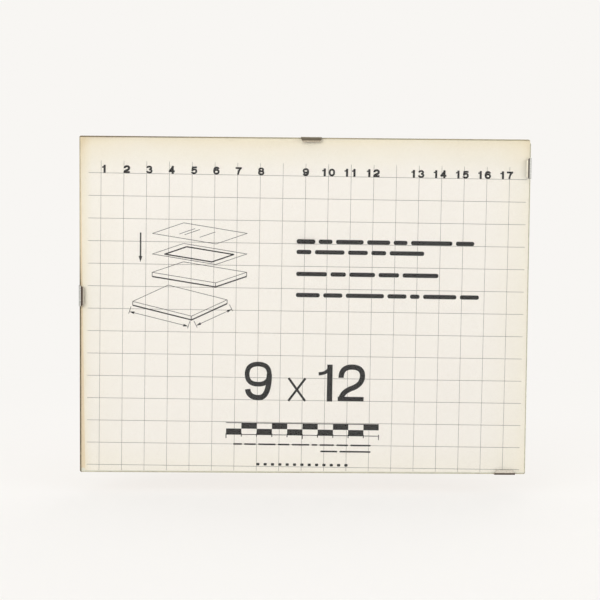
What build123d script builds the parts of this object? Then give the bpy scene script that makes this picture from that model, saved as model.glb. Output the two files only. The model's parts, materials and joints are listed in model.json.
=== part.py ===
"""Frameless clip frame: a glass pane, a paper insert and a grooved chipboard back, held together at
their edges by four bent spring-steel clips. It hangs upright on a nail through a clip.

The glass faces -Y, the wall side is +Y, +Z is up. The origin is the centre of the round hanging
hole of the upper clip, in the middle of its sheet metal. All lengths are in millimetres.
"""

import os

from build123d import *

# Glass pane
glass_width = 304.8
glass_height = 228.6
glass_thickness = 2.0
glass_seam = 0.25
glass_dub = 0.7
worn_corner_width = 1.4
worn_corner_height = 3.2

# Paper insert, cut by hand: its left side leans in towards the bottom
sheet_thickness = 0.3
sheet_inset = 0.5
sheet_inset_bottom = 1.1
sheet_lean = 2.9
ink_gap = 0.2

# Chipboard back
board_thickness = 6.0
board_setback = 0.2
board_arris = 0.3
groove_inset = 26.0
groove_width = 2.5
groove_depth = 3.0

# Spring-steel clip
clip_width = 14.0
clip_sheet = 0.5
clip_clearance = 0.15
lip_depth = 2.8
lip_lean = 0.4
lip_bend_radius = 0.9
lip_corner_width = 1.3
lip_corner_depth = 1.9
shoulder_length = 10.0
shoulder_gap = 2.6
step_run = 1.0
plate_gap = 1.2
leg_reach = 2.3
leg_clearance = 0.2
leg_corner = 1.2
bend_radius = 0.6
notch_radius = 1.4

# Keyhole in each clip: a round hole for the nail's head, and a slot for its shank
hole_from_edge = 15.4
hole_radius = 3.2
slot_width = 2.6
slot_from_edge = 3.5

# Where the clips sit along the four edges
top_clip_off_centre = 3.8
left_clip_above_middle = 6.2
right_clip_below_top = 19.5
bottom_clip_from_right = 14.0

# How far a cutting shape runs past what it cuts
overrun = 1.0

# Faces of the stack, from the wall to the room
board_back = -(plate_gap + clip_sheet / 2)
board_front = board_back - board_thickness
sheet_front = board_front - sheet_thickness
glass_back = sheet_front - ink_gap
glass_front = glass_back - glass_thickness

# Edges of the glass
top_edge = hole_from_edge
bottom_edge = top_edge - glass_height
middle_x = -top_clip_off_centre
middle_z = (top_edge + bottom_edge) / 2
left_edge = middle_x - glass_width / 2
right_edge = middle_x + glass_width / 2


def wall_plane(y):
    """Plane facing the room, at a depth y; its own x and y are the part's X and Z."""
    return Plane.XZ.offset(-y)


# Glass pane: ground edges and dubbed corners, the upper right one more worn than the rest
with BuildPart() as glass_pane:
    with BuildSketch(wall_plane(glass_back)):
        with BuildLine():
            Polyline(
                (left_edge + glass_dub, bottom_edge),
                (right_edge - glass_dub, bottom_edge),
                (right_edge, bottom_edge + glass_dub),
                (right_edge, top_edge - worn_corner_height),
                (right_edge - worn_corner_width, top_edge),
                (left_edge + glass_dub, top_edge),
                (left_edge, top_edge - glass_dub),
                (left_edge, bottom_edge + glass_dub),
                close=True,
            )
        make_face()
    extrude(amount=glass_thickness)
    face_borders = glass_pane.faces().filter_by(Axis.Y).edges()
    chamfer(face_borders, length=glass_seam)

# Insert sheet: lies on the board, a little smaller than the glass
with BuildPart() as insert_sheet:
    with BuildSketch(wall_plane(board_front)):
        with BuildLine():
            Polyline(
                (left_edge + sheet_inset + sheet_lean, bottom_edge + sheet_inset_bottom),
                (right_edge - sheet_inset, bottom_edge + sheet_inset_bottom),
                (right_edge - sheet_inset, top_edge - sheet_inset),
                (left_edge + sheet_inset, top_edge - sheet_inset),
                close=True,
            )
        make_face()
    extrude(amount=sheet_thickness)

# Backing board: square-edged chipboard, with a saw cut parallel to each edge on its back
with BuildPart() as backing_board:
    board_width = glass_width - 2 * board_setback
    board_height = glass_height - 2 * board_setback
    with BuildSketch(wall_plane(board_back)):
        with Locations((middle_x, middle_z)):
            Rectangle(board_width, board_height)
    extrude(amount=board_thickness)
    chamfer(backing_board.edges(), length=board_arris)
    with BuildSketch(wall_plane(board_back)):
        with Locations((middle_x, top_edge - groove_inset), (middle_x, bottom_edge + groove_inset)):
            Rectangle(glass_width, groove_width)
        with Locations((left_edge + groove_inset, middle_z), (right_edge - groove_inset, middle_z)):
            Rectangle(groove_width, glass_height)
    extrude(amount=groove_depth, mode=Mode.SUBTRACT)

# Clip: one strip of spring steel, drawn where it hooks over the upper edge. The line follows the
# inner face of the strip from the tip of the lip, over the edge and down to the leg in the groove.
with BuildPart() as clip:
    lip_inside = glass_front - clip_clearance
    wall_inside = top_edge + clip_clearance
    lip_tip = top_edge - lip_depth
    shoulder_inside = board_back + shoulder_gap
    plate_inside = board_back + plate_gap
    step_top = top_edge - shoulder_length
    step_foot = step_top - step_run
    groove_wall = top_edge - groove_inset + groove_width / 2
    leg_inside = groove_wall - leg_clearance
    leg_tip = board_back - leg_reach
    with BuildSketch(Plane.YZ):
        with BuildLine() as strip:
            FilletPolyline(
                (lip_inside, lip_tip),
                (lip_inside - lip_lean, wall_inside),
                (shoulder_inside, wall_inside),
                (shoulder_inside, step_top),
                (plate_inside, step_foot),
                (plate_inside, leg_inside),
                (leg_tip, leg_inside),
                radius=[
                    lip_bend_radius,
                    bend_radius,
                    bend_radius,
                    bend_radius + clip_sheet,
                    bend_radius,
                ],
            )
            offset(amount=clip_sheet, side=Side.LEFT)
        make_face()
    extrude(amount=clip_width / 2, both=True)

    # Leg: its tip is narrowed, so that the clip finds the groove
    leg_tip_edges = clip.edges().filter_by(Axis.Z).group_by(Axis.Z)[0]
    chamfer(leg_tip_edges, length=leg_corner)

    # Lip: leans onto the glass, and is narrower towards its tip
    with BuildSketch(wall_plane(glass_front)):
        for side in (-1, 1):
            with BuildLine():
                Polyline(
                    (side * (clip_width / 2 - lip_corner_width), lip_tip),
                    (side * clip_width / 2, lip_tip + lip_corner_depth),
                    (side * clip_width / 2, lip_tip - overrun),
                    (side * (clip_width / 2 - lip_corner_width), lip_tip - overrun),
                    close=True,
                )
            make_face()
    extrude(amount=clip_clearance + lip_lean + clip_sheet + overrun, mode=Mode.SUBTRACT)

    # Keyhole through the plate and the shoulder, and a notch in each side at the step
    slot_end = top_edge - slot_from_edge - slot_width / 2
    with BuildSketch(Plane.XZ):
        Circle(hole_radius)
        with Locations((0, slot_end / 2)):
            SlotCenterToCenter(slot_end, slot_width, rotation=90)
        with Locations((-clip_width / 2, step_foot), (clip_width / 2, step_foot)):
            Circle(notch_radius)
    extrude(amount=shoulder_gap + clip_sheet, both=True, mode=Mode.SUBTRACT)

# The four clips are the same piece, turned to their own edges of the frame
left_hole = (left_edge + hole_from_edge, 0, middle_z + left_clip_above_middle)
right_hole = (right_edge - hole_from_edge, 0, top_edge - right_clip_below_top)
bottom_hole = (right_edge - bottom_clip_from_right, 0, bottom_edge + hole_from_edge)
clip_places = {
    "clip_top": Location((0, 0, 0)),
    "clip_left": Location(left_hole, (0, -90, 0)),
    "clip_right": Location(right_hole, (0, 90, 0)),
    "clip_bottom": Location(bottom_hole, (0, 180, 0)),
}

os.makedirs("parts", exist_ok=True)

glass_pane.part.label = "glass_pane"
export_step(glass_pane.part, "parts/glass_pane.step")

insert_sheet.part.label = "insert_sheet"
export_step(insert_sheet.part, "parts/insert_sheet.step")

backing_board.part.label = "backing_board"
export_step(backing_board.part, "parts/backing_board.step")

for name, place in clip_places.items():
    with BuildPart() as placed_clip:
        with Locations(place):
            add(clip.part)
    placed_clip.part.label = name
    export_step(placed_clip.part, f"parts/{name}.step")
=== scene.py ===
"""Looks of the clip frame: chipboard back, printed insert, glass and four spring-steel clips.

Everything is in metres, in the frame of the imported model: the glass faces -Y and +Z is up.
"""

import json
import math

import bpy
from mathutils import Matrix, Vector


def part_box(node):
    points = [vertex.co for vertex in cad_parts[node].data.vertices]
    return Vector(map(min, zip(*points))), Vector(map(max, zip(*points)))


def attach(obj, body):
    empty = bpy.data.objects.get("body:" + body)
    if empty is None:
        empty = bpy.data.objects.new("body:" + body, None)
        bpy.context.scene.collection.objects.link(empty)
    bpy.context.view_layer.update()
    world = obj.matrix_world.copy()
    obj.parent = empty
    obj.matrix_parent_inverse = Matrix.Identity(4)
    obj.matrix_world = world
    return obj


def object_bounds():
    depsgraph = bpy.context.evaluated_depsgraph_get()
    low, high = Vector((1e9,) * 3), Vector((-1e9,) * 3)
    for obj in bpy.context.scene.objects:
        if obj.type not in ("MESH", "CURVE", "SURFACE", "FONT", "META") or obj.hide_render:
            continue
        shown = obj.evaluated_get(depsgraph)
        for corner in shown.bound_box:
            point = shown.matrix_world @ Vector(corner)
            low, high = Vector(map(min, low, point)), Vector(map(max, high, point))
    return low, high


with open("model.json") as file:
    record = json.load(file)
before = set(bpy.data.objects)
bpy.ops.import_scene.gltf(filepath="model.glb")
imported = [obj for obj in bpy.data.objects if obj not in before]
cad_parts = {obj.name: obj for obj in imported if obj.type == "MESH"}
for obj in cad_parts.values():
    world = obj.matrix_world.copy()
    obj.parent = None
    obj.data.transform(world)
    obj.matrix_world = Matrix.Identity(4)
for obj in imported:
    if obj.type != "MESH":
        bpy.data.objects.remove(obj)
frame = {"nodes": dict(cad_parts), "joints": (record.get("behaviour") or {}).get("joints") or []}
cad_low, cad_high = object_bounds()
nodes = frame["nodes"]
mm = 0.001

# Backing board. Chipboard, pressed from flat-lying wood chips and sawn to the size of the glass,
# with a saw cut along each edge of its back for the legs of the clips. The face under the sheet
# is filled and pale, and the sawn edges show darker, open chips.


def screen(red, green, blue):
    """A colour as it should show on screen, 0 to 255, turned into the linear colour of a shader."""
    linear = []
    for channel in (red, green, blue):
        share = channel / 255
        linear.append(share / 12.92 if channel < 11 else ((share + 0.055) / 1.055) ** 2.4)
    return (*linear, 1.0)


def shader_node(tree, kind, values=None, **settings):
    """A new shader node. Each value is a number or colour for an input, or a socket to link to it."""
    made = tree.nodes.new("ShaderNode" + kind)
    for name, setting in settings.items():
        setattr(made, name, setting)
    for name, value in (values or {}).items():
        if isinstance(value, bpy.types.NodeSocket):
            tree.links.new(value, made.inputs[name])
        else:
            made.inputs[name].default_value = value
    return made


def sums(tree, operation, first, second=0.0, third=0.0):
    """The result of a Math node."""
    return shader_node(tree, "Math", {0: first, 1: second, 2: third}, operation=operation).outputs[0]


def distance(tree, value, middle):
    """How far a value lies from a middle, to either side."""
    return sums(tree, "ABSOLUTE", sums(tree, "SUBTRACT", value, middle))


def ramp(tree, value, low, high, start=0.0, end=1.0):
    """A smooth step from start, where value is low, to end, where it is high."""
    values = {"Value": value, "From Min": low, "From Max": high, "To Min": start, "To Max": end}
    return shader_node(tree, "MapRange", values, interpolation_type="SMOOTHSTEP").outputs["Result"]


def tinted(tree, share, first, second, how="MIX"):
    """A colour that goes from the first to the second by share."""
    values = {0: share, 6: first, 7: second}
    return shader_node(tree, "Mix", values, data_type="RGBA", blend_type=how).outputs[2]


def colour_steps(tree, value, steps):
    """A colour that runs through steps, each with its place along the value and its colour."""
    made = shader_node(tree, "ValToRGB", {"Fac": value})
    stops = made.color_ramp.elements
    stops.remove(stops[1])
    stops[0].position, stops[0].color = steps[0]
    for position, colour in steps[1:]:
        stops.new(position).color = colour
    return made.outputs["Color"]


def scaled(tree, vector, scale):
    """The vector stretched along each axis."""
    return shader_node(tree, "Mapping", {"Vector": vector, "Scale": scale}).outputs["Vector"]


def enlarged(tree, vector, size):
    """The vector stretched evenly, by a size that may be a socket."""
    return shader_node(tree, "VectorMath", {0: vector, "Scale": size}, operation="SCALE").outputs[0]


def along_axes(tree, vector):
    """The three parts of a vector, as sockets."""
    return shader_node(tree, "SeparateXYZ", {"Vector": vector}).outputs


def facing(tree):
    """The three parts of the surface's normal, as sockets."""
    return along_axes(tree, shader_node(tree, "NewGeometry").outputs["Normal"])


def noise(tree, vector, scale, detail=3.0, rough=0.5):
    """A cloud noise from about 0.2 to 0.8."""
    values = {"Vector": vector, "Scale": scale, "Detail": detail, "Roughness": rough}
    return shader_node(tree, "TexNoise", values).outputs["Fac"]


def new_group(name, inputs, outputs):
    """An empty node group with named sockets, each input with its kind and its value."""
    group = bpy.data.node_groups.new(name, "ShaderNodeTree")
    for title, kind, value in inputs:
        socket = group.interface.new_socket(title, in_out="INPUT", socket_type="NodeSocket" + kind)
        if kind == "Float":
            socket.default_value = value
    for title in outputs:
        group.interface.new_socket(title, in_out="OUTPUT", socket_type="NodeSocketFloat")
    return group, group.nodes.new("NodeGroupInput").outputs, group.nodes.new("NodeGroupOutput").inputs


def use_group(tree, group, **values):
    """The outputs of a group placed in a material, with its values by input name."""
    return shader_node(tree, "Group", values, node_tree=group).outputs


def new_material(name):
    """A material with its Principled shader, its tree and the piece's Object coordinates."""
    material = bpy.data.materials.new(name)
    material.use_nodes = True
    tree = material.node_tree
    place = shader_node(tree, "TexCoord").outputs["Object"]
    return material, tree, tree.nodes["Principled BSDF"], place


def coloured(tree, shader, colour, roughness):
    """Links a colour and a roughness to the shader."""
    tree.links.new(colour, shader.inputs["Base Color"])
    tree.links.new(roughness, shader.inputs["Roughness"])


def embossed(tree, shader, height, depth, strength):
    """Links a bump of that depth to the shader."""
    bump = shader_node(tree, "Bump", {"Height": height, "Strength": strength, "Distance": depth})
    tree.links.new(bump.outputs["Normal"], shader.inputs["Normal"])


def dress(piece, material):
    """Gives a piece one material."""
    piece.data.materials.clear()
    piece.data.materials.append(material)


# Chips of two grain directions, in flat-lying cells: the tone of each chip, and the seams
# between them
chips, given, made = new_group(
    "Pressed chips", [("Vector", "Vector", None), ("Size", "Float", 300.0)], ["Tone", "Seam"]
)
tree = chips
lengthwise, through, crosswise = 0.42, 2.4, 1.25
crooked = (0.9, 0.9, 0.9)
seam_width = 0.09
sized = enlarged(tree, given["Vector"], given["Size"])
wander = shader_node(tree, "TexNoise", {"Vector": sized, "Scale": 0.9, "Detail": 2.0}).outputs["Color"]
values = {0: wander, 1: crooked, 2: sized}
bent = shader_node(tree, "VectorMath", values, operation="MULTIPLY_ADD").outputs[0]
which = ramp(tree, noise(tree, sized, 0.4, 1.0), 0.49, 0.51)
tones, seams = [], []
for lay in ((lengthwise, through, crosswise), (crosswise, through, lengthwise)):
    laid = scaled(tree, bent, lay)
    cell = shader_node(tree, "TexVoronoi", {"Vector": laid, "Scale": 1.0})
    tones.append(shader_node(tree, "SeparateColor", {"Color": cell.outputs["Color"]}).outputs["Red"])
    border = shader_node(tree, "TexVoronoi", {"Vector": laid, "Scale": 1.0}, feature="DISTANCE_TO_EDGE")
    seams.append(ramp(tree, border.outputs["Distance"], 0.0, seam_width, 1.0, 0.0))
for kind, name in ((tones, "Tone"), (seams, "Seam")):
    both = shader_node(tree, "Mix", {0: which, 2: kind[0], 3: kind[1]}).outputs[0]
    tree.links.new(both, made[name])

# Fine grain of paper, filler and printed ink: fibres that cross, and specks
grain, given, made = new_group(
    "Fibre grain", [("Vector", "Vector", None), ("Size", "Float", 2500.0)], ["Fibres", "Specks"]
)
tree = grain
fibre_stretch = 0.16
sized = enlarged(tree, given["Vector"], given["Size"])
along = noise(tree, scaled(tree, sized, (fibre_stretch, 1.0, 1.0)), 1.0, 2.0)
upward = noise(tree, scaled(tree, sized, (1.0, 1.0, fibre_stretch)), 1.0, 2.0)
tree.links.new(sums(tree, "MAXIMUM", along, upward), made["Fibres"])
tree.links.new(ramp(tree, noise(tree, sized, 0.35, 2.0), 0.70, 0.76), made["Specks"])

# Patches of wear, tarnish or dust: broad clouds broken up by fine ones
patches, given, made = new_group(
    "Worn patches",
    [("Vector", "Vector", None), ("Size", "Float", 60.0), ("Share", "Float", 0.3)],
    ["Mask"],
)
tree = patches
fine_share, finer = 0.35, 9.0
none_above, span, soft_edge = 0.68, 0.36, 0.12
broad = noise(tree, given["Vector"], given["Size"], 4.0, 0.6)
fine = noise(tree, given["Vector"], sums(tree, "MULTIPLY", given["Size"], finer), 3.0, 0.7)
clouds = sums(tree, "MULTIPLY_ADD", fine, fine_share, sums(tree, "MULTIPLY", broad, 1.0 - fine_share))
least = sums(tree, "SUBTRACT", none_above, sums(tree, "MULTIPLY", given["Share"], span))
tree.links.new(ramp(tree, clouds, least, sums(tree, "ADD", least, soft_edge)), made["Mask"])

chipboard, tree, shader, place = new_material("pressed chipboard")
board_low, board_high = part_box("backing_board")
fine_layers, coarse_core = 2.4 * mm, 1.4 * mm
painted_light_rim, painted_light_rim_end = 1.5 * mm, 3.0 * mm
face_depth, face_end = 0.05 * mm, 0.25 * mm
chip_relief = 0.25 * mm
x, y, z = along_axes(tree, place)
coarse = use_group(tree, chips, Vector=place, Size=440.0)
small = use_group(tree, chips, Vector=place, Size=1150.0)
resin = use_group(tree, grain, Vector=place, Size=1500.0)
grimy = use_group(tree, patches, Vector=place, Size=14.0, Share=0.45)["Mask"]
sawn = ramp(tree, sums(tree, "ABSOLUTE", facing(tree)["Y"]), 0.80, 0.60)
core = ramp(tree, distance(tree, y, (board_low.y + board_high.y) / 2), fine_layers, coarse_core)
tone = sums(tree, "MULTIPLY_ADD", small["Tone"], 0.45, sums(tree, "MULTIPLY", coarse["Tone"], 0.55))
wood = colour_steps(
    tree,
    tone,
    (
        (0.12, screen(146, 109, 71)),
        (0.30, screen(174, 138, 96)),
        (0.50, screen(194, 160, 116)),
        (0.72, screen(209, 178, 135)),
        (0.92, screen(226, 200, 158)),
    ),
)
coarse_seam = sums(tree, "MULTIPLY", coarse["Seam"], 0.8)
small_seam = sums(tree, "MULTIPLY", small["Seam"], 0.5)
seam = sums(tree, "MAXIMUM", coarse_seam, small_seam)
open_grain = noise(tree, scaled(tree, place, (1, 1.8, 1)), 620.0, 4.0, 0.6)
pits = sums(tree, "MULTIPLY", sawn, ramp(tree, open_grain, 0.56, 0.66))
pits = sums(tree, "MULTIPLY", pits, sums(tree, "MULTIPLY_ADD", core, 0.65, 0.35))
body = wood
for mask, share, colour in (
    (seam, 0.45, screen(116, 84, 53)),
    (resin["Specks"], 0.7, screen(70, 46, 28)),
    (sawn, 0.35, screen(104, 80, 50)),
    (pits, 0.85, screen(52, 34, 20)),
    (grimy, 0.16, screen(120, 90, 60)),
):
    body = tinted(tree, sums(tree, "MULTIPLY", mask, share), body, colour)
filler = tinted(tree, resin["Fibres"], screen(222, 203, 170), screen(238, 222, 194))
# Painted light: within 3 mm of the foot and the right edge the filler is painted paler and greyer
from_foot = sums(tree, "SUBTRACT", z, board_low.z)
from_rim = sums(tree, "MINIMUM", from_foot, sums(tree, "SUBTRACT", board_high.x, x))
filler = tinted(tree, ramp(tree, from_rim, painted_light_rim, painted_light_rim_end, 0.9, 0.0), filler, screen(224, 224, 212))
face = ramp(tree, y, board_low.y + face_depth, board_low.y + face_end, 1.0, 0.0)
hollows = sums(tree, "ADD", seam, sums(tree, "MULTIPLY", pits, 2.0))
height = sums(tree, "SUBTRACT", sums(tree, "MULTIPLY", tone, 0.6), hollows)
unfilled = sums(tree, "SUBTRACT", 1.0, sums(tree, "MULTIPLY", face, 0.9))
coloured(tree, shader, tinted(tree, face, body, filler), ramp(tree, tone, 0.1, 0.9, 0.86, 0.68))
embossed(tree, shader, sums(tree, "MULTIPLY", height, unfilled), chip_relief, 0.6)
dress(nodes["backing_board"], chipboard)

# Insert sheet. Uncoated cream paper, cut by hand a little smaller than the glass. Years in the
# light have yellowed it from its borders inwards, most along the top and the left side.


def drifting(tree, vector, scale, reach):
    """A slow drift to either side of zero, for a border that isn't ruled straight."""
    return sums(tree, "MULTIPLY", sums(tree, "SUBTRACT", noise(tree, vector, scale), 0.5), reach)


aged_paper, tree, shader, place = new_material("aged cream paper")
sheet_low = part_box("insert_sheet")[0]
glass_low, glass_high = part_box("glass_pane")
fibre_size, fibre_relief = 2600.0, 0.02 * mm
at = along_axes(tree, place)
drift = drifting(tree, place, 22.0, 9 * mm)
from_top = sums(tree, "ADD", sums(tree, "SUBTRACT", glass_high.z, at["Z"]), drift)
from_foot = sums(tree, "ADD", sums(tree, "SUBTRACT", at["Z"], glass_low.z), drift)
from_right = sums(tree, "ADD", sums(tree, "SUBTRACT", glass_high.x, at["X"]), drift)
half_drift = sums(tree, "MULTIPLY", drift, 0.5)
from_left = sums(tree, "ADD", sums(tree, "SUBTRACT", at["X"], glass_low.x), half_drift)
yellow = 0.0
for distance_in, reach, depth in (
    (from_top, 30 * mm, 0.42),
    (from_top, 9 * mm, 0.16),
    (from_left, 9 * mm, 0.42),
    (from_left, 42 * mm, 0.12),
    (from_right, 34 * mm, 0.20),
    (from_right, 8 * mm, 0.10),
    (from_foot, 26 * mm, 0.14),
):
    yellow = sums(tree, "ADD", yellow, ramp(tree, distance_in, 0.0, reach, depth, 0.0))
stained = use_group(tree, patches, Vector=place, Size=26.0, Share=0.25)["Mask"]
yellow = sums(tree, "ADD", yellow, sums(tree, "MULTIPLY", stained, 0.035))
paper = colour_steps(
    tree,
    yellow,
    (
        (0.0, screen(245, 241, 236)),
        (0.25, screen(242, 237, 226)),
        (0.55, screen(239, 230, 210)),
        (1.0, screen(228, 211, 178)),
    ),
)
fibre = use_group(tree, grain, Vector=place, Size=fibre_size)
shade = tinted(tree, ramp(tree, fibre["Fibres"], 0.35, 0.75), screen(248, 247, 245), screen(255, 255, 255))
colour = tinted(tree, 1.0, paper, shade, "MULTIPLY")
colour = tinted(tree, sums(tree, "MULTIPLY", fibre["Specks"], 0.10), colour, screen(190, 170, 140))
coloured(tree, shader, colour, ramp(tree, fibre["Fibres"], 0.3, 0.8, 0.78, 0.9))
embossed(tree, shader, fibre["Fibres"], fibre_relief, 0.4)
dress(nodes["insert_sheet"], aged_paper)

# Printed grid. Thin grey lines at 15.34 mm, 19 upright and 14 across, printed on the sheet and
# turned by under half a degree against its edges, with the upright lines cut off at its foot.
# The paper has grown a little across and shrunk a little in height, and the print with it.

ink_turn = math.radians(0.445)
paper_growth = (1.0014, 1.0, 0.9968, 1.0)
first_crossing = Vector((-141.81 * mm, sheet_low.y, -9.40 * mm))
pitch = 15.34 * mm
upright_line, across_line = 0.22 * mm, 0.264 * mm
upright_count, upright_foot, upright_top = 19, -13.3 * pitch, 8.3 * mm
across_count, across_left, across_right = 14, -8.4 * mm, 287.7 * mm
ink_film, upright_lift, across_lift = 0.012 * mm, 0.012 * mm, 0.022 * mm
foot_margin = 0.05 * mm


def printing_ink(name, colour, wear_and_dark_reflection, share):
    """Ink in the paper's fibres, a little worn off in patches, where the paper's colour comes through."""
    material, tree, shader, place = new_material(name)
    fibre = use_group(tree, grain, Vector=place, Size=fibre_size)
    bare = use_group(tree, patches, Vector=place, Size=55.0, Share=share)["Mask"]
    bare = sums(tree, "MULTIPLY", bare, ramp(tree, fibre["Fibres"], 0.4, 0.8, 0.35, 0.8))
    roughness = ramp(tree, fibre["Fibres"], 0.3, 0.8, 0.6, 0.8)
    coloured(tree, shader, tinted(tree, bare, colour, wear_and_dark_reflection), roughness)
    shader.inputs["Specular IOR Level"].default_value = 0.05
    return material


def select_only(*pieces):
    """Selects these objects and makes the first one active."""
    bpy.ops.object.select_all(action="DESELECT")
    for piece in pieces:
        piece.select_set(True)
    bpy.context.view_layer.objects.active = pieces[0]


def bar(left, right, foot, top, lift):
    """A flat printed bar, in the print's own right and up, lifted off the sheet by lift."""
    bpy.ops.mesh.primitive_cube_add(
        size=1.0,
        location=((left + right) / 2, -lift, (foot + top) / 2),
        scale=(right - left, ink_film, top - foot),
    )
    bpy.ops.object.transform_apply(location=True, rotation=False, scale=True)
    return bpy.context.object


def repeat(piece, count, step):
    """Repeats a printed mark in a row, as one mesh."""
    row = piece.modifiers.new("row", "ARRAY")
    row.count, row.use_relative_offset, row.use_constant_offset = count, False, True
    row.constant_offset_displace = step
    select_only(piece)
    bpy.ops.object.modifier_apply(modifier=row.name)


def print_on_sheet(name, pieces, ink):
    """Joins printed marks, turns them with the print and lays them on the sheet, where they ride."""
    select_only(*pieces)
    if len(pieces) > 1:
        bpy.ops.object.join()
    printed = bpy.context.object
    printed.name = printed.data.name = name
    turned_print = Matrix.Rotation(ink_turn, 4, "Y") @ Matrix.Diagonal(paper_growth)
    printed.matrix_world = Matrix.Translation(first_crossing) @ turned_print
    bpy.ops.object.transform_apply(location=True, rotation=True, scale=True)
    dress(printed, ink)
    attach(printed, "panel")


uprights = bar(-upright_line / 2, upright_line / 2, upright_foot, upright_top, upright_lift)
repeat(uprights, upright_count, (pitch, 0, 0))
across = bar(across_left, across_right, -across_line / 2, across_line / 2, across_lift)
repeat(across, across_count, (0, 0, -pitch))
hairline_ink = printing_ink("grey hairline ink", screen(112, 108, 102), screen(176, 171, 162), 0.3)
print_on_sheet("printed_grid", [uprights, across], hairline_ink)
bpy.ops.object.mode_set(mode="EDIT")
bpy.ops.mesh.select_all(action="SELECT")
bpy.ops.mesh.bisect(
    plane_co=(0, 0, sheet_low.z + foot_margin), plane_no=(0, 0, -1), use_fill=True, clear_outer=True
)
bpy.ops.object.mode_set(mode="OBJECT")

# Column numbers. Bold plain numerals that count the grid's columns along its top line, drawn as
# pen strokes, with a gap after the eighth and the twelfth.

pen_lift, pen_flat, pen_overlap = 0.03 * mm, 0.02, 0.35
numeral_span = 0.6

# The strokes of each numeral: the share of its weight, how the pen runs, and points to the right
# and up, as shares of its height between the middles of its lines
digit_strokes = {
    "0": [(1, "closed", [(0, 0), (0.6, 0), (0.6, 1), (0, 1)])],
    "1": [
        (1, "straight", [(0.33, 1), (0.33, 0)]),
        (0.7, "smooth", [(0.33, 1.03), (0.27, 0.80), (-0.02, 0.79)]),
    ],
    "2": [
        (1, "smooth", [(0.01, 0.66), (0.01, 1), (0.6, 1), (0.6, 0.46), (0.04, 0.22), (0.02, 0)]),
        (1, "straight", [(0, 0), (0.57, 0)]),
    ],
    "3": [
        (1, "smooth", [(0.02, 0.76), (0.04, 1), (0.56, 1), (0.56, 0.53), (0.26, 0.53)]),
        (1, "smooth", [(0.26, 0.53), (0.61, 0.53), (0.61, 0), (0.02, 0), (0, 0.25)]),
    ],
    "4": [
        (1, "straight", [(0.44, 1), (0.44, 0)]),
        (1, "straight", [(0.44, 1), (0.02, 0.27), (0.58, 0.27)]),
    ],
    "5": [
        (1, "straight", [(0.54, 1), (0.12, 1), (0.07, 0.52)]),
        (1, "smooth", [(0.07, 0.50), (0.14, 0.64), (0.60, 0.66), (0.60, 0), (0.02, 0), (0, 0.22)]),
    ],
    "6": [
        (1, "closed", [(0, 0), (0.6, 0), (0.6, 0.62), (0, 0.62)]),
        (1, "smooth", [(0, 0.31), (0, 1), (0.55, 1), (0.57, 0.77)]),
    ],
    "7": [
        (1, "straight", [(0, 1), (0.56, 1)]),
        (1, "smooth", [(0.57, 1), (0.26, 0.62), (0.20, -0.12)]),
    ],
    "8": [
        (1, "closed", [(0.04, 0.53), (0.56, 0.53), (0.56, 1), (0.04, 1)]),
        (1, "closed", [(0, 0), (0.6, 0), (0.6, 0.53), (0, 0.53)]),
    ],
    "9": [
        (1, "closed", [(0, 0.40), (0.6, 0.40), (0.6, 1), (0, 1)]),
        (1, "smooth", [(0.6, 0.70), (0.6, 0), (0.05, 0), (0.02, 0.25)]),
    ],
    "x": [(1, "straight", [(0, 1), (0.73, 0)]), (1, "straight", [(0.73, 1), (0, 0)])],
}


def pen(name, strokes):
    """Flat strokes of a pen, as a mesh. Each stroke is its width, or its width at both ends, how it
    runs and its points."""
    line = bpy.data.curves.new(name, "CURVE")
    line.dimensions = "3D"
    line.bevel_depth, line.bevel_resolution, line.use_fill_caps = 1.0, 1, True
    line.resolution_u = 10
    for width, run, points in strokes:
        points = [Vector(point) for point in points]
        first_width, last_width = width if isinstance(width, tuple) else (width, width)
        runs = [points]
        if run == "straight":
            runs = []
            for number, (start, end) in enumerate(zip(points, points[1:])):
                reach = (end - start).normalized() * first_width * pen_overlap
                inner_start, inner_end = number > 0, number < len(points) - 2
                runs.append([start - reach * inner_start, end + reach * inner_end])
        for run_points in runs:
            spline = line.splines.new("POLY" if run == "straight" else "NURBS")
            spline.points.add(len(run_points) - 1)
            for number, (point, (right, up)) in enumerate(zip(spline.points, run_points)):
                gone = number / (len(run_points) - 1)
                point.co = (right, 0, up, 1)
                point.radius = (first_width + (last_width - first_width) * gone) / 2
            if run != "straight":
                spline.use_cyclic_u = run == "closed"
                spline.order_u = 3
                spline.use_endpoint_u = run != "closed"
    drawn = bpy.data.objects.new(name, line)
    bpy.context.scene.collection.objects.link(drawn)
    select_only(drawn)
    bpy.ops.object.convert(target="MESH")
    drawn = bpy.context.object
    drawn.scale, drawn.location = (1, pen_flat, 1), (0, -pen_lift, 0)
    bpy.ops.object.transform_apply(location=True, rotation=False, scale=True)
    return drawn


def numeral(sign, left, foot, height, weight, wide):
    """The strokes of one numeral, with its outer height and the left of its box."""
    rise, strokes = height - weight, []
    middle_left, middle_foot = left + weight / 2, foot + weight / 2
    for share, run, points in digit_strokes[sign]:
        line = [Vector((middle_left + right * wide * rise, middle_foot + up * rise)) for right, up in points]
        if run == "straight":
            line[0] += (line[0] - line[1]).normalized() * weight / 2
            line[-1] += (line[-1] - line[-2]).normalized() * weight / 2
        strokes.append((weight * share, run, line))
    return strokes


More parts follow.
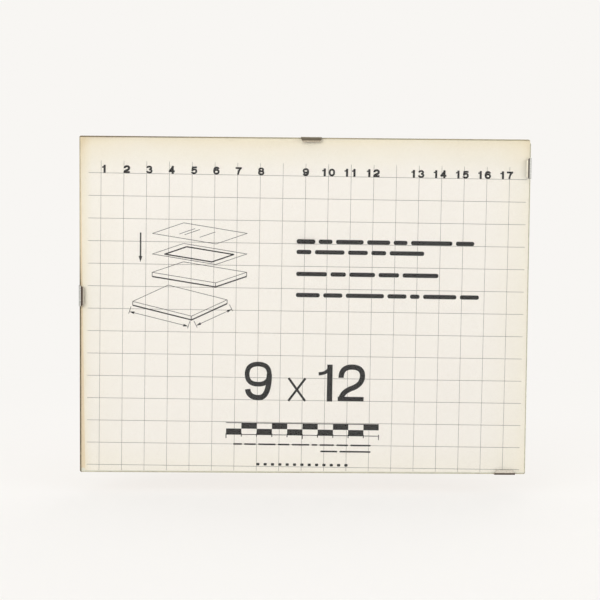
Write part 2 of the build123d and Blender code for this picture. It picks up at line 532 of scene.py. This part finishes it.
number_height, number_weight, number_wide = 5.4 * mm, 1.45 * mm, 1.25
number_pitch, first_number, number_gap = 0.984 * pitch, 2.2 * mm, 0.6 * mm
number_width = numeral_span * number_wide * (number_height - number_weight) + number_weight
number_step = number_width + number_gap
columns = [*range(0, 8), *range(9, 13), *range(14, 19)]
strokes = []
for count, column in enumerate(columns, 1):
    signs = str(count)
    middle = column * number_pitch + first_number
    left = middle - (number_step * len(signs) - number_gap) / 2
    for sign in signs:
        strokes += numeral(sign, left, 0.0, number_height, number_weight, number_wide)
        left += number_step
black_ink = printing_ink("black printing ink", screen(9, 7, 6), screen(38, 34, 30), 0.1)
print_on_sheet("column_numbers", [pen("column_numbers", strokes)], black_ink)

# Size numerals. The frame's plain size in inches, in large open figures over the middle of the
# grid, the nine a little taller than the twelve and the cross small and light.

strokes = []
for sign, left, foot, height, weight, wide in (
    ("9", 98.4 * mm, -153.7 * mm, 26.8 * mm, 3.7 * mm, 1.09),
    ("x", 128.2 * mm, -154.0 * mm, 16.1 * mm, 1.8 * mm, 1.0),
    ("1", 147.6 * mm, -153.9 * mm, 25.5 * mm, 3.7 * mm, 1.0),
    ("2", 162.3 * mm, -153.8 * mm, 25.7 * mm, 3.6 * mm, 1.12),
):
    strokes += numeral(sign, left, foot, height, weight, wide)
print_on_sheet("size_numerals", [pen("size_numerals", strokes)], black_ink)

# Diagrams. Two plain line drawings, one above the other: the loose sheets of a frame laid on each
# other, and one sheet with the arrows of its two measures.

fine_pen, bold_pen, arrow_tip, head_share = 0.42 * mm, 1.0 * mm, 0.1 * mm, 0.62


def leaf(corner, along, back):
    """The four corners of a sheet drawn in slanting view."""
    return [corner, corner + along, corner + along + back, corner + back]


def slab(sheet, thick=0.0):
    """The strokes of a drawn sheet: a fine outline and, if it is thick, its near sides with a bold foot."""
    drawn = [(fine_pen, "straight", [*sheet, sheet[0]])]
    if thick:
        lower = [corner - Vector((0.0, thick)) for corner in sheet[1:]]
        drawn.append((bold_pen, "straight", lower))
        drawn += [(fine_pen, "straight", pair) for pair in zip(sheet[1:], lower)]
    return drawn


def arrow(start, end, width, head):
    """A straight arrow with a filled head, as strokes."""
    neck = end - (end - start).normalized() * head
    return [
        (width, "straight", [start, neck]),
        ((arrow_tip, head * head_share), "straight", [end, neck]),
    ]


along, back = Vector((43.0, -6.5)) * mm, Vector((-21.0, -7.5)) * mm
pane_at, insert_at, board_at = (Vector((56.0, up)) * mm for up in (-33.0, -47.0, -59.5))
strokes = slab(leaf(pane_at, along, back))
for reach in (0.30, 0.38, 0.62):
    glint = [pane_at + along * reach + back * share for share in (0.25, 0.75)]
    strokes.append((fine_pen, "straight", glint))
strokes += slab(leaf(insert_at, along, back))
window = leaf(insert_at + Vector((2.2, -2.2)) * mm, along * 0.74, back * 0.7)
strokes.append((bold_pen, "straight", [*window, window[0]]))
strokes += slab(leaf(board_at, along, back), 2.8 * mm)
strokes += arrow(Vector((27.0, -40.0)) * mm, Vector((27.0, -60.0)) * mm, bold_pen, 4.0 * mm)

measured = leaf(Vector((46.0, -75.5)) * mm, Vector((40.0, -9.5)) * mm, Vector((-24.0, -11.5)) * mm)
strokes += slab(measured, 2.6 * mm)
measure_head = 3.4 * mm
for first, second, off in (
    (measured[3], measured[2], Vector((-2.2, -7.0)) * mm),
    (measured[2], measured[1], Vector((3.2, -6.4)) * mm),
):
    start, end = first + off, second + off
    middle = (start + end) / 2
    strokes += arrow(middle, start, fine_pen, measure_head) + arrow(middle, end, fine_pen, measure_head)
    for near in (first, second):
        strokes.append((fine_pen, "straight", [near + off * share for share in (0.5, 1.2)]))
print_on_sheet("diagrams", [pen("diagrams", strokes)], black_ink)

# Rows of bars. Four rows of short rounded bars of uneven length, printed in black to the right of
# the diagrams, with the first two rows close together.

lines_left, bar_height, bar_gap = 132.6 * mm, 2.9 * mm, 2.4 * mm
bar_lift, bar_round = 0.035 * mm, 0.42


def rounded(piece, radius):
    """Rounds the ends of a printed bar, by its four edges across the film."""
    select_only(piece)
    bpy.ops.object.mode_set(mode="EDIT")
    bpy.ops.mesh.select_all(action="DESELECT")
    bpy.ops.object.mode_set(mode="OBJECT")
    ends = piece.data.vertices
    for edge in piece.data.edges:
        run = ends[edge.vertices[1]].co - ends[edge.vertices[0]].co
        edge.select = abs(run.y) > abs(run.x) + abs(run.z)
    bpy.ops.object.mode_set(mode="EDIT")
    bpy.ops.mesh.select_mode(type="EDGE")
    bpy.ops.mesh.bevel(offset=radius, segments=4, affect="EDGES")
    bpy.ops.object.mode_set(mode="OBJECT")
    return piece


def bar_row(left, right, foot, height, gap, shares):
    """One row of rounded bars with these shares of its length, fitted between left and right."""
    room = (right - left - gap * (len(shares) - 1)) / sum(shares)
    row, start = [], left
    for share in shares:
        end = start + share * room
        row.append(rounded(bar(start, end, foot, foot + height, bar_lift), height * bar_round))
        start = end + gap
    return row


lines = []
for right, foot, shares in (
    (253.2 * mm, -45.8 * mm, (4, 3, 6, 5, 3, 9, 4)),
    (219.3 * mm, -53.0 * mm, (3, 6, 4, 3, 7)),
    (229.3 * mm, -68.0 * mm, (6, 3, 5, 4, 7)),
    (257.2 * mm, -82.4 * mm, (5, 4, 8, 4, 2, 7, 4)),
):
    lines += bar_row(lines_left, right, foot, bar_height, bar_gap, shares)
print_on_sheet("printed_lines", lines, black_ink)

# Foot of the print. A scale bar of dark and light blocks with its ticks, two rows of small bars
# under it, and a row of short marks above the last line of the grid.

block, blocks, long_tick_each = 10.43 * mm, 10, 5
scale_left, scale_top, scale_foot = 86.4 * mm, -169.4 * mm, -177.4 * mm
tick_width, tick_top, short_tick, long_tick = 0.6 * mm, -176.5 * mm, -178.9 * mm, -180.1 * mm
rule_width = 0.5 * mm
block_lift, tick_lift, rule_lift = 0.035 * mm, 0.045 * mm, 0.055 * mm
small_right, small_height, small_gap = 185.4 * mm, 1.1 * mm, 1.5 * mm
mark_count, mark_left, mark_pitch, mark_width = 13, 107.3 * mm, 5.03 * mm, 2.2 * mm
mark_foot, mark_top, mark_round, mark_lift = -198.8 * mm, -197.0 * mm, 0.5 * mm, 0.045 * mm

block_height = (scale_top - scale_foot) / 2
scale_bar = []
for step in range(blocks):
    left = scale_left + step * block
    top = scale_top if step % 2 else scale_top - block_height
    scale_bar.append(bar(left, left + block, top - block_height, top, block_lift))
for step in range(blocks + 1):
    middle = scale_left + step * block
    foot = short_tick if step % long_tick_each else long_tick
    scale_bar.append(bar(middle - tick_width / 2, middle + tick_width / 2, foot, tick_top, tick_lift))
scale_right = scale_left + blocks * block
for level in (scale_top, scale_foot):
    scale_bar.append(bar(scale_left, scale_right, level - rule_width / 2, level + rule_width / 2, rule_lift))
small_bars = []
for left, foot, shares in (
    (91.4 * mm, -184.6 * mm, (3, 4, 6, 4, 6, 2, 5, 4, 7)),
    (151.0 * mm, -189.0 * mm, (6, 11)),
):
    small_bars += bar_row(left, small_right, foot, small_height, small_gap, shares)
marks = []
for step in range(mark_count):
    left = mark_left + step * mark_pitch
    marks.append(rounded(bar(left, left + mark_width, mark_foot, mark_top, mark_lift), mark_round))
print_on_sheet("print_foot", scale_bar + small_bars + marks, black_ink)

# Glass. Clear float glass, 2 mm, with ground edges and dubbed corners. Seen flat it is almost
# without colour, and at its edges it shows the green of its depth and the grey of the grinding.
# A painted shade darkens its border along the top, most towards the left end, and along the left side, most
# on its lower half.


def either_shader(tree, share, first, second):
    """The first shader, or the second by share."""
    return shader_node(tree, "MixShader", {0: share, 1: first, 2: second}).outputs[0]


glass, tree, shader, place = new_material("float glass")
pane_middle, pane_half = (glass_low + glass_high) / 2, (glass_high - glass_low) / 2
ground_inner, ground_outer = -0.70 * mm, -0.25 * mm
painted_shade_full, painted_shade_end = 0.60 * mm, 0.95 * mm
wider_low, thinner_high = -0.10 * mm, 0.35 * mm
tint_full, tint_end = 1.0 * mm, 1.4 * mm
clean_height = pane_middle.z + 50 * mm
grinding_depth = 0.05 * mm
at = along_axes(tree, place)
beside = sums(tree, "SUBTRACT", distance(tree, at["X"], pane_middle.x), pane_half.x)
above = sums(tree, "SUBTRACT", distance(tree, at["Z"], pane_middle.z), pane_half.z)
border = ramp(tree, sums(tree, "MAXIMUM", beside, above), ground_inner, ground_outer)
# Painted shade along the top and left borders: an olive to grey band, darker at the top's left end and on the
# lower half of the left side
from_left = sums(tree, "SUBTRACT", at["X"], glass_low.x)
from_top = sums(tree, "SUBTRACT", glass_high.z, at["Z"])
thinner = ramp(tree, at["Z"], pane_middle.z, clean_height, wider_low, thinner_high)
painted_shade_side = sums(tree, "MINIMUM", sums(tree, "ADD", from_left, thinner), from_top)
border = sums(tree, "MAXIMUM", border, ramp(tree, painted_shade_side, painted_shade_full, painted_shade_end, 1.0, 0.0))
on_left = ramp(tree, from_left, tint_full, tint_end, 1.0, 0.0)
on_top = ramp(tree, from_top, tint_full, tint_end, 1.0, 0.0)
down = ramp(tree, at["Z"], pane_middle.z, clean_height, 1.0, 0.25)
leftwards = ramp(tree, at["X"], glass_low.x, pane_middle.x, 0.95, 0.45)
painted_edge_shade = sums(tree, "MAXIMUM", sums(tree, "MULTIPLY", on_left, down), sums(tree, "MULTIPLY", on_top, leftwards))
rightwards = ramp(tree, at["X"], glass_low.x, pane_middle.x)
painted_shade_tint = tinted(tree, rightwards, screen(136, 127, 103), screen(158, 154, 142))
ground = use_group(tree, patches, Vector=place, Size=260.0, Share=0.5)["Mask"]
edge_tint = tinted(tree, painted_edge_shade, screen(222, 226, 212), painted_shade_tint)
edge_tint = tinted(tree, sums(tree, "MULTIPLY", ground, 0.3), edge_tint, screen(218, 218, 202))
tree.links.new(tinted(tree, border, screen(254, 254, 253), edge_tint), shader.inputs["Base Color"])
shader.inputs["Roughness"].default_value = 0.03
shader.inputs["IOR"].default_value = 1.41
shader.inputs["Transmission Weight"].default_value = 1.0
embossed(tree, shader, sums(tree, "MULTIPLY", border, noise(tree, place, 4200.0, 2.0)), grinding_depth, 0.35)

# The lamps light the sheet straight through the pane
lets_lamps = shader_node(tree, "BsdfTransparent", {"Color": screen(253, 253, 252)}).outputs[0]
shadow_ray = shader_node(tree, "LightPath").outputs["Is Shadow Ray"]
surface = either_shader(tree, shadow_ray, shader.outputs[0], lets_lamps)
tree.links.new(surface, tree.nodes["Material Output"].inputs["Surface"])
dress(nodes["glass_pane"], glass)

# Clips. Strips of spring steel, sheared to 14 mm, punched, bent and nickel plated, pressed over
# the edges of the stack. The plating has gone warm and dull where hands and damp reached it, and
# the sheared sides are bare and darker.

lip_above, lip_below = 0.3 * mm, 0.1 * mm
band_start_blur, band_end_blur = 0.2 * mm, 0.25 * mm
rolling_depth, rolling_size, rolling_stretch = 0.01 * mm, 5200.0, 0.12


def plated_steel(clip, across, band, wear_and_dark_reflection, painted_tip_reflection):
    """Plated strip of one clip. Its rolling marks and sheared sides go by the axis across its width. Its lip
    has a painted dark reflection in a band, inwards from the clip's outer face, and a painted pale reflection
    beyond that band, towards its tip."""
    material, tree, shader, place = new_material(clip.replace("_", " ") + " steel")
    drawn_out = [rolling_stretch] * 3
    drawn_out[across] = 1.0
    rolled = noise(tree, scaled(tree, place, drawn_out), rolling_size)
    tarnish = use_group(tree, patches, Vector=place, Size=230.0, Share=0.42)["Mask"]
    sheared = ramp(tree, sums(tree, "ABSOLUTE", facing(tree)[across]), 0.75, 0.95)
    at = along_axes(tree, place)
    edge = 2 - across
    low, high = (corner[edge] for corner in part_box(clip))
    outer, inward = (high, -1.0) if low > pane_middle[edge] else (low, 1.0)
    inset = sums(tree, "MULTIPLY", sums(tree, "SUBTRACT", at[edge], outer), inward)
    inset = sums(tree, "ADD", inset, drifting(tree, place, 900.0, 0.3 * mm))
    lip = ramp(tree, at["Y"], glass_low.y - lip_above, glass_low.y + lip_below, 1.0, 0.0)
    band_start, band_end = band
    painted_reflection_lip = ramp(tree, inset, band_start - band_start_blur, band_start + band_start_blur)
    painted_reflection_lip = sums(tree, "MULTIPLY", lip, painted_reflection_lip)
    ended = ramp(tree, inset, band_end - band_end_blur, band_end + band_end_blur, 1.0, 0.0)
    painted_dark_band = sums(tree, "MULTIPLY", painted_reflection_lip, ended)
    colour = tinted(tree, ramp(tree, rolled, 0.3, 0.7), screen(176, 177, 174), screen(203, 203, 199))
    # Tarnish and the darker sheared sides are the steel's own; the pale tip and the dark band across the lip
    # are painted reflections
    for mask, share, tint in (
        (tarnish, 0.5, screen(142, 124, 100)),
        (painted_reflection_lip, 0.75, painted_tip_reflection),
        (painted_dark_band, 0.92, wear_and_dark_reflection),
        (sheared, 0.8, screen(92, 82, 72)),
    ):
        colour = tinted(tree, sums(tree, "MULTIPLY", mask, share), colour, tint)
    dull = sums(tree, "MULTIPLY_ADD", tarnish, 0.22, ramp(tree, rolled, 0.3, 0.7, 0.20, 0.30))
    bare = sums(tree, "MULTIPLY", sums(tree, "MAXIMUM", sheared, painted_dark_band), 0.5)
    coloured(tree, shader, colour, sums(tree, "MAXIMUM", dull, bare))
    embossed(tree, shader, rolled, rolling_depth, 0.35)
    shader.inputs["Metallic"].default_value = 1.0
    return material


# Each clip: its name, the axis across its width, the band of its painted dark reflection, that reflection's
# colour and the colour of the painted pale reflection at its tip
for name, across, band, wear_and_dark_reflection, painted_tip_reflection in (
    ("clip_top", 0, (0.4 * mm, 2.6 * mm), screen(100, 92, 78), screen(194, 178, 152)),
    ("clip_bottom", 0, (-0.5 * mm, 1.6 * mm), screen(78, 68, 59), screen(226, 217, 202)),
    ("clip_left", 2, (1.5 * mm, 2.9 * mm), screen(58, 42, 36), screen(206, 196, 176)),
    ("clip_right", 2, (1.4 * mm, 2.5 * mm), screen(60, 52, 46), screen(250, 242, 222)),
):
    dress(nodes[name], plated_steel(name, across, band, wear_and_dark_reflection, painted_tip_reflection))

# Studio. A pale round sweep whose floor lies just under the lowest place that a clip can slide to,
# soft lamps above, in front and behind, a pale room around, and the camera of the photograph.

floor_gap, sweep_radius = 0.2 * mm, 0.9
pale_from, pale_to, pale_near = 0.12, 0.72, 0.60
backdrop = screen(248, 246, 243)


def seen_ray(tree):
    """1 where the camera, a mirror or a pane looks at a surface, and 0 where it only lights others."""
    rays = shader_node(tree, "LightPath").outputs
    seen = sums(tree, "MAXIMUM", rays["Is Camera Ray"], rays["Is Glossy Ray"])
    return sums(tree, "MAXIMUM", seen, rays["Is Transmission Ray"])


slides = {joint["name"]: joint["range_m"] for joint in frame["joints"]}
floor_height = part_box("clip_left")[0].z + slides["left_clip_slide"][0] - floor_gap
bpy.ops.object.select_all(action="DESELECT")
bpy.ops.mesh.primitive_circle_add(
    vertices=96, radius=sweep_radius, fill_type="NGON", location=(0, 0, floor_height)
)
floor = bpy.context.object
floor.name = floor.data.name = "floor"
bpy.ops.object.transform_apply(location=True, rotation=False, scale=False)
sweep, tree, shader, place = new_material("pale sweep")
at = along_axes(tree, place)
away = sums(tree, "MULTIPLY_ADD", at["X"], at["X"], sums(tree, "MULTIPLY", at["Y"], at["Y"]))
away = sums(tree, "SQRT", away)
shader.inputs["Roughness"].default_value = 0.9
shader.inputs["Specular IOR Level"].default_value = 0.1
cloth = tinted(tree, noise(tree, place, 3.0, 2.0), screen(249, 247, 244), screen(252, 250, 247))
tree.links.new(cloth, shader.inputs["Base Color"])
far = shader_node(tree, "Emission", {"Color": backdrop, "Strength": 1.0}).outputs[0]
share = sums(tree, "MULTIPLY", ramp(tree, away, pale_from, pale_to, pale_near, 1.0), seen_ray(tree))
surface = either_shader(tree, share, shader.outputs[0], far)
tree.links.new(surface, tree.nodes["Material Output"].inputs["Surface"])
dress(floor, sweep)

world = bpy.data.worlds.new("pale room")
bpy.context.scene.world = world
world.use_nodes = True
tree = world.node_tree
tree.nodes.clear()
room = shader_node(tree, "Background", {"Color": (1.0, 0.995, 0.985, 1.0), "Strength": 0.78}).outputs[0]
behind = shader_node(tree, "Background", {"Color": backdrop, "Strength": 1.0}).outputs[0]
shader_node(tree, "OutputWorld", {"Surface": either_shader(tree, seen_ray(tree), room, behind)})

object_middle = (cad_low + cad_high) / 2
for name, spot, size, power in (
    ("soft key", Vector((-1.1, -2.0, 0.72)), 1.8, 14.9),
    ("soft fill", Vector((1.5, -1.3, 0.5)), 1.6, 5.7),
    ("soft top", Vector((-0.1, 0.25, 1.7)), 2.2, 5.0),
    ("soft back", Vector((0.5, 1.7, 0.9)), 1.6, 4.5),
):
    bpy.ops.object.light_add(type="AREA", location=spot)
    lamp = bpy.context.object
    lamp.name = name
    lamp.visible_camera = False
    lamp.data.shape, lamp.data.size, lamp.data.energy = "DISK", size, power
    lamp.rotation_euler = (object_middle - spot).to_track_quat("-Z", "Y").to_euler()

camera_place = (-25.80 * mm, -1069.85 * mm, -20.31 * mm)
yaw, tilt, roll = (math.radians(angle) for angle in (1.0249, 4.0, 0.4781))
bpy.ops.object.camera_add()
camera = bpy.context.object
camera.name = "camera"
camera.matrix_world = (
    Matrix.Translation(camera_place)
    @ Matrix.Rotation(-yaw, 4, "Z")
    @ Matrix.Rotation(math.pi / 2 - tilt, 4, "X")
    @ Matrix.Rotation(roll, 4, "Z")
)
camera.data.lens, camera.data.sensor_width = 93.85, 36.0
camera.data.clip_start, camera.data.clip_end = 0.05, 50.0
bpy.context.scene.camera = camera
bpy.context.scene.view_settings.view_transform = "Standard"
